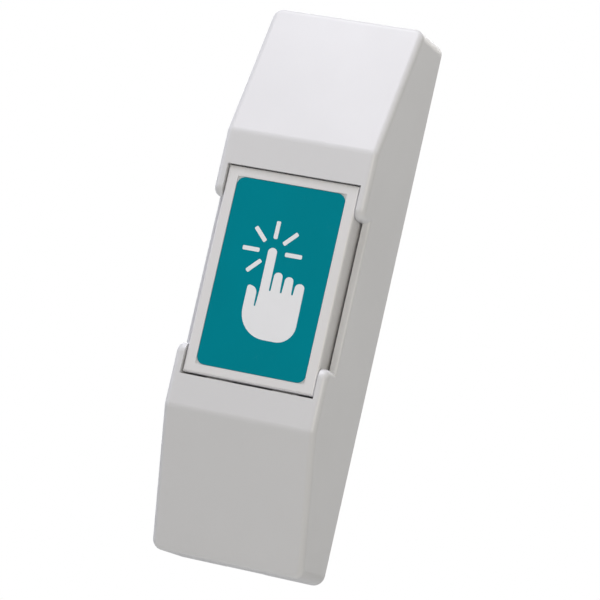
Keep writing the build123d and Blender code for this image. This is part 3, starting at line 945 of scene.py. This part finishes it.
@dataclass
class ReturnSprings:
    """Two coil springs with closed ends between the base plate and the cap.

    All lengths are in millimetres.

    Attributes:
        wire: Thickness of the wire.
        radius: Radius of the coil at the middle of the wire.
        open_turns: Turns between the closed ends.
        closed_turns: Turns that lie together at each end.
        closed_pitch: Step of a closed turn, in thicknesses of the wire.
        travel: How far the button presses the springs together; not used.
        finish: Finish of the wire.
        steps: Rings of points in a turn.
        sides: Points in a ring.
    """

    wire: float = 0.6
    radius: float = 2.8
    open_turns: float = 4.5
    closed_turns: float = 1.0
    closed_pitch: float = 1.02
    travel: float = 1.6
    finish: DrawnMetal = SPRING_WIRE
    steps: int = 40
    sides: int = 10

    @property
    def turns(self) -> float:
        """All turns of a coil."""
        return self.open_turns + 2 * self.closed_turns

    def run(self, turn: float, length: float) -> float:
        """Work out how far the wire has come along the coil.

        Args:
            turn: Turns from the coil's start.
            length: Length of the coil in metres, between the wire's middles.

        Returns:
            The distance along the coil in metres.
        """
        pitch = self.closed_pitch * self.wire * MM
        seat = pitch * self.closed_turns
        if turn < self.closed_turns:
            return pitch * turn
        if turn > self.turns - self.closed_turns:
            return length - pitch * (self.turns - turn)
        return seat + (length - 2 * seat) * (turn - self.closed_turns) / self.open_turns

    def coil(self, low: Vector, high: Vector) -> bmesh.types.BMesh:
        """Build one coil inside a box.

        Args:
            low: Lowest corner of the box in metres.
            high: Highest corner of the box in metres.

        Returns:
            The shape.
        """
        thick, radius = self.wire * MM / 2, self.radius * MM
        start = (low + high) / 2
        start.y = high.y - thick
        length = high.y - low.y - 2 * thick
        count = round(self.turns * self.steps)
        path = []
        for step in range(count + 1):
            turn = self.turns * step / count
            run = self.run(turn, length)
            path.append(turned(start, 2 * math.pi * turn, radius, -run))
        angles = [2 * math.pi * part / self.sides for part in range(self.sides)]
        rings = []
        for index, centre in enumerate(path):
            ahead = path[min(index + 1, count)] - path[max(index - 1, 0)]
            side = ahead.normalized().cross(Vector((0, 1, 0))).normalized() * thick
            lift = side.cross(ahead).normalized() * thick
            rings.append(
                [centre + side * math.cos(a) + lift * math.sin(a) for a in angles]
            )
        shape = bmesh.new()
        add_tube(shape, rings)
        return shape

    def build(self) -> None:
        """Wind both springs in place of the plain ones."""
        for node in ("upper_spring", "lower_spring"):
            low, high = (Vector(corner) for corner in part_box(node))
            shape, name = self.coil(low, high), node + "_coil"
            piece = add_piece(shape, name, self.finish, "casing")
            piece.data.shade_smooth()
            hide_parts(node)
            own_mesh(piece)


class Drive(Enum):
    """Ways in which a screw head takes a driver."""

    CROSS = "cross"
    SLOT = "slot"


@dataclass(frozen=True)
class MachineScrew:
    """A pan-head screw with its recess and a rolled thread, with the head towards -Y.

    All lengths are in millimetres.

    Attributes:
        head_radius: Radius of the head.
        head_height: Height of the head.
        thread_radius: Outer radius of the thread.
        drive: Form of the recess.
        drive_span: Length of a cross recess.
        drive_width: Width of the recess.
        drive_depth: Depth of the recess.
        thread_pitch: Step of the thread.
        thread_depth: Depth of the thread.
        thread_steps: Rings of points in a turn of the thread.
        thread_sides: Points in such a ring.
        point_turns: Turns over which the thread's end gets thinner.
        point_share: Radius of the end, as a share of the thread's.
        end_share: Where the end of a recess's arm stops, as a share of its corner's
            angle.
        flank_shares: Directions on the arm's flank, as shares of the angle at which it
            meets the next arm.
        floor_shares: Sizes of the rings on the recess's floor.
        shoulder: Course of the head's round shoulder, by its way from the recess to
            the rim and its height, both as shares.
    """

    head_radius: float
    head_height: float
    thread_radius: float
    drive: Drive
    drive_span: float
    drive_width: float
    drive_depth: float
    thread_pitch: float = 0.6
    thread_depth: float = 0.14
    thread_steps: int = 8
    thread_sides: int = 24
    point_turns: float = 1.2
    point_share: float = 0.75
    end_share: float = 0.98
    flank_shares: Triple = (0.3, 0.5, 0.75)
    floor_shares: Band = (0.25, 1.0)
    shoulder: tuple[Point, ...] = (
        (0.0, 1.0),
        (0.25, 1.0),
        (0.6333, 0.97),
        (0.8667, 0.84),
        (1.0, 0.55),
    )

    def recess(self) -> list[tuple[float, float, bool]]:
        """Outline of the recess round the head.

        Returns:
            For each direction its angle, the reach of the recess in it, and whether the
            recess leaves the head there.
        """
        slotted = self.drive is Drive.SLOT
        half = self.drive_width / 2
        arms = 2 if slotted else 4
        reach = self.head_radius if slotted else self.drive_span / 2
        corner = math.asin(half / reach)
        inner = self.end_share * corner
        meeting = math.pi / arms
        flank = [share * meeting for share in self.flank_shares]
        steps = [-meeting, *(-step for step in reversed(flank)), -corner, -inner]
        steps += [0.0, inner, corner, *flank]
        found = []
        for arm in range(arms):
            for step in steps:
                inside = abs(step) <= inner
                length = reach if inside else min(reach, half / abs(math.sin(step)))
                angle = arm * 2 * math.pi / arms + step
                found.append((angle, length, inside and slotted))
        return found

    def add_head(self, shape: bmesh.types.BMesh, seat: Vector) -> None:
        """Add the head.

        Args:
            shape: Shape to add to, in metres.
            seat: Middle of the head's underside.
        """
        floor = self.drive_depth - self.head_height
        outline = self.recess()
        rings = [
            [(angle, share * reach, floor) for angle, reach, _ in outline]
            for share in self.floor_shares
        ]
        for share, height in self.shoulder:
            top = -height * self.head_height
            ring = []
            for angle, reach, opened in outline:
                radius = reach + (self.head_radius - reach) * share
                ring.append((angle, radius, max(floor, top) if opened else top))
            rings.append(ring)
        rings.append([(angle, self.head_radius, 0.0) for angle, _, _ in outline])
        self.add_rings(shape, seat, rings)

    def add_thread(self, shape: bmesh.types.BMesh, seat: Vector, length: float) -> None:
        """Add the threaded shank.

        Args:
            shape: Shape to add to, in metres.
            seat: Middle of the head's underside.
            length: Length of the thread in millimetres.
        """
        count = round(length / self.thread_pitch * self.thread_steps)
        rings = []
        for step in range(count + 1):
            along = length * step / count
            left = (length - along) / (self.point_turns * self.thread_pitch)
            taper = self.point_share + (1 - self.point_share) * min(1.0, left)
            ring = []
            for side in range(self.thread_sides):
                turn = side / self.thread_sides
                phase = (along / self.thread_pitch - turn) % 1.0
                groove = abs(2 * phase - 1) * self.thread_depth
                radius = (self.thread_radius - groove) * taper
                ring.append((2 * math.pi * turn, radius, along))
            rings.append(ring)
        self.add_rings(shape, seat, rings)

    @staticmethod
    def add_rings(
        shape: bmesh.types.BMesh, seat: Vector, rings: list[list[Triple]]
    ) -> None:
        """Add a skin through rings round the screw's axis.

        Args:
            shape: Shape to add to, in metres.
            seat: Middle of the head's underside.
            rings: Rings of points, each with its angle, radius and distance along.
        """
        points = [
            [turned(seat, angle, out * MM, along * MM) for angle, out, along in ring]
            for ring in rings
        ]
        add_tube(shape, points)

    def replace(self, node: str, across: int, count: int, finish: Finish) -> None:
        """Make the screws of a node in place of its plain ones.

        Args:
            node: Node of the frame that holds the screws in one row.
            across: Axis of the row, 0 for X and 2 for Z.
            count: Number of screws in the row.
            finish: Finish to wear.
        """
        low, high = (Vector(corner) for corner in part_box(node))
        radius = self.head_radius * MM
        seat = (low + high) / 2
        seat.y = low.y + self.head_height * MM
        length = (high.y - seat.y) / MM
        run = high[across] - low[across] - 2 * radius
        shape = bmesh.new()
        for index in range(count):
            seat[across] = low[across] + radius + run * index / (count - 1)
            self.add_head(shape, seat)
            self.add_thread(shape, seat, length)
        bmesh.ops.remove_doubles(shape, verts=shape.verts, dist=SAME_PLACE)
        piece = add_piece(shape, node + "_turned", finish, "casing")
        piece.data.shade_smooth()
        piece.data.set_sharp_from_angle(angle=CREASE)
        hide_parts(node)


@dataclass
class SwitchUnit(DressedUnit):
    """The lever switch that the button presses."""

    finishes: Finishes = (
        ("switch_base", BLACK_RESIN),
        ("switch_cap", BLACK_RESIN),
        ("switch_plunger", RED_RESIN),
        ("switch_lever", PLATED_STEEL),
        ("lever_pin", PLATED_STEEL),
        ("contact_blade", CONTACT_BRASS),
        ("common_terminal", CONTACT_BRASS),
        ("open_terminal", CONTACT_BRASS),
        ("closed_terminal", CONTACT_BRASS),
    )


@dataclass
class WiringUnit(DressedUnit):
    """The circuit board with its screws, and the terminal block for the wires."""

    finishes: Finishes = (
        ("circuit_board", GREEN_MASK),
        ("board_screws", PLATED_STEEL),
        ("terminal_block", GREEN_RESIN),
        ("wire_clamps", PLATED_STEEL),
        ("clamp_screws", PLATED_STEEL),
        ("block_pins", CONTACT_BRASS),
    )
    board_screw: MachineScrew = MachineScrew(
        head_radius=2.1,
        head_height=1.5,
        thread_radius=0.85,
        drive=Drive.CROSS,
        drive_span=2.3,
        drive_width=0.62,
        drive_depth=0.9,
    )
    clamp_screw: MachineScrew = MachineScrew(
        head_radius=1.75,
        head_height=1.6,
        thread_radius=1.25,
        drive=Drive.SLOT,
        drive_span=3.5,
        drive_width=0.6,
        drive_depth=0.8,
        thread_pitch=0.5,
    )

    def build(self) -> None:
        """Dress every piece of the wiring and make its screws."""
        super().build()
        self.board_screw.replace("board_screws", 2, 2, PLATED_STEEL)
        self.clamp_screw.replace("clamp_screws", 0, 3, PLATED_STEEL)


@dataclass(frozen=True)
class SoftLamp:
    """A square soft lamp that faces the button.

    Attributes:
        name: Name of the lamp.
        direction: Direction in which it hangs, seen from the button.
        share: Light that a white face turned to it gives back, where 1 is white.
        size: Side of the square in metres.
        tint: Colour of its light.
        distance: Distance from the button in metres.
    """

    name: str
    direction: Triple
    share: float
    size: float
    tint: Colour = (1.0, 1.0, 1.0)
    distance: float = 0.9

    def hang(self) -> None:
        """Hang the lamp."""
        towards = Vector(self.direction).normalized()
        data = bpy.data.lights.new(self.name, "AREA")
        data.shape = "SQUARE"
        data.size = self.size
        data.color = self.tint
        data.energy = self.share * math.pi**2 * self.distance**2
        lamp = bpy.data.objects.new(self.name, data)
        lamp.location = towards * self.distance
        lamp.rotation_euler = towards.to_track_quat("Z", "Y").to_euler()
        bpy.context.scene.collection.objects.link(lamp)


@dataclass
class Studio:
    """Pale floor, even white surround, soft lamps and the camera.

    Attributes:
        floor_size: Side of the square floor in metres.
        floor_fade: Distances in metres at which the floor begins to fade and is gone.
        floor_shades: The two pale greys of the floor.
        light_round: Strength of the surround at the button's height.
        light_above: What it gains towards the ceiling.
        light_below: What it gains towards the floor.
        light_tint: Colour of its light.
        horizon: Heights between which the one gain gives way to the other.
        lamps: The lamps.
        lens: Focal length of the camera in millimetres.
        sensor: Width of its sensor in millimetres.
        camera_place: Place of the camera in metres.
        camera_right: Direction of the picture's right side.
        camera_up: Direction of the picture's upper side.
    """

    floor_size: float = 3.0
    floor_fade: Band = (0.25, 0.9)
    floor_shades: tuple[Colour, Colour] = ((0.93, 0.93, 0.93), (0.90, 0.90, 0.90))
    light_round: float = 0.15
    light_above: float = 0.42
    light_below: float = 0.94
    light_tint: Colour = (1.0, 0.995, 0.985)
    horizon: Band = (-0.1, 0.1)
    lamps: tuple[SoftLamp, ...] = (
        SoftLamp("top_lamp", (-0.25, -0.35, 0.9), 0.57, 0.4, (0.985, 0.985, 1.05)),
        SoftLamp("key_lamp", (-0.35, -0.56, 0.75), 0.03, 0.3, (1.0, 0.85, 1.2)),
        SoftLamp("edge_lamp", (0.58, -0.81, 0.08), 0.28, 0.2, (1.05, 1.0, 0.87)),
        SoftLamp("left_lamp", (-0.9, -0.4, 0.17), 0.13, 0.4, (0.94, 1.0, 1.12)),
        SoftLamp("back_lamp", (0.2, 0.86, 0.46), 0.07, 0.3, (1.05, 1.0, 0.95)),
        SoftLamp("rear_lamp", (-0.35, 0.9, 0.25), 0.26, 0.5),
    )
    lens: float = 182.8
    sensor: float = 36.0
    camera_place: Triple = (0.1938, -0.5410, -0.0621)
    camera_right: Triple = (0.9252, 0.3089, 0.2204)
    camera_up: Triple = (-0.1731, -0.1733, 0.9695)

    def build(self) -> None:
        """Set up the floor, the surround, the lamps and the camera."""
        self.floor()
        self.world()
        for lamp in self.lamps:
            lamp.hang()
        self.camera()

    @staticmethod
    def choose(
        bench: NodeBench, share: Socket, first: Socket, second: Socket, sink: str
    ) -> None:
        """Let a share decide between two shaders.

        Args:
            bench: Bench on the tree.
            share: Output with the share of the second shader.
            first: First shader.
            second: Second shader.
            sink: Name of the tree's output node.
        """
        choice = bench.node("MixShader", Fac=share)
        _, *places = choice.inputs
        for shader, place in zip((first, second), places):
            bench.feed(shader, place)
        bench.feed(choice.outputs["Shader"], bench.tree.nodes[sink].inputs["Surface"])

    def floor(self) -> None:
        """Lay a pale floor under the button's lower end.

        It is clear from below, and the soft light of the surround comes through it, so
        that the button's lower end is as bright as the rest. Far from the button it
        fades into the white of the surround.
        """
        half = self.floor_size / 2
        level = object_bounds()[0][2]
        mesh = bpy.data.meshes.new("studio_floor")
        corners = [(-half, -half), (half, -half), (half, half), (-half, half)]
        mesh.from_pydata([(x, y, level) for x, y in corners], [], [(0, 1, 2, 3)])
        floor = bpy.data.objects.new("studio_floor", mesh)
        bpy.context.scene.collection.objects.link(floor)
        material = bpy.data.materials.new("studio_floor")
        material.use_nodes = True
        bench = NodeBench(material.node_tree)
        noise = bench.node("TexNoise", Scale=6.0, Detail=3.0)
        shader = material.node_tree.nodes["Principled BSDF"]
        for value, target in (
            (bench.blend(noise.outputs["Fac"], *self.floor_shades), "Base Color"),
            (0.9, "Roughness"),
            (0.1, "Specular IOR Level"),
        ):
            bench.feed(value, shader.inputs[target])
        place = bench.node("TexCoord").outputs["Object"]
        away = bench.node("VectorMath", operation="LENGTH", Vector=place)
        clear = bench.ramp(away.outputs["Value"], *self.floor_fade)
        path = bench.node("LightPath").outputs
        behind = bench.node("NewGeometry").outputs["Backfacing"]
        for case in (behind, path["Is Diffuse Ray"], path["Is Shadow Ray"]):
            clear = bench.maths("MAXIMUM", clear, case)
        through = bench.node("BsdfTransparent").outputs["BSDF"]
        self.choose(bench, clear, shader.outputs["BSDF"], through, "Material Output")
        mesh.materials.append(material)
        floor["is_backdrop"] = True

    def world(self) -> None:
        """Surround the button with soft light, and show white where nothing stands.

        The light grows towards the ceiling and towards the pale floor.
        """
        world = bpy.data.worlds.new("studio")
        bpy.context.scene.world = world
        world.use_nodes = True
        bench = NodeBench(world.node_tree)
        _, _, height = bench.split(bench.node("TexCoord").outputs["Generated"])
        rise = bench.ramp(height, *self.horizon)
        change = bench.product(rise, self.light_above - self.light_below)
        ends = bench.maths("ADD", change, self.light_below)
        grown = bench.product(ends, bench.product(height, height))
        even = world.node_tree.nodes["Background"]
        bench.feed(self.light_tint, even.inputs["Color"])
        strength = bench.maths("ADD", grown, self.light_round)
        bench.feed(strength, even.inputs["Strength"])
        white = bench.node("Background", Color=(1.0, 1.0, 1.0))
        path = bench.node("LightPath").outputs
        seen = path["Is Camera Ray"]
        for ray in ("Is Glossy Ray", "Is Transmission Ray"):
            seen = bench.maths("MAXIMUM", seen, path[ray])
        lights = [node.outputs["Background"] for node in (even, white)]
        self.choose(bench, seen, *lights, "World Output")

    def camera(self) -> None:
        """Place the camera at the photograph's angle."""
        right, up = Vector(self.camera_right), Vector(self.camera_up)
        back = right.cross(up).normalized()
        up = back.cross(right).normalized()
        data = bpy.data.cameras.new("camera")
        data.lens = self.lens
        data.sensor_width = self.sensor
        camera = bpy.data.objects.new("camera", data)
        turn = Matrix((right.normalized(), up, back)).transposed().to_4x4()
        camera.matrix_world = Matrix.Translation(self.camera_place) @ turn
        bpy.context.scene.collection.objects.link(camera)
        bpy.context.scene.camera = camera
        bpy.context.scene.view_settings.view_transform = "Standard"


def main() -> None:
    """Build every sub-assembly in order, then the studio round them."""
    logging.basicConfig(level=logging.INFO, format="%(name)s: %(message)s")
    for part in (Casing(), PressButton(), ReturnSprings(), SwitchUnit(), WiringUnit()):
        log.info("building %s", type(part).__name__)
        part.build()
    Studio().build()


if __name__ == "__main__":
    main()
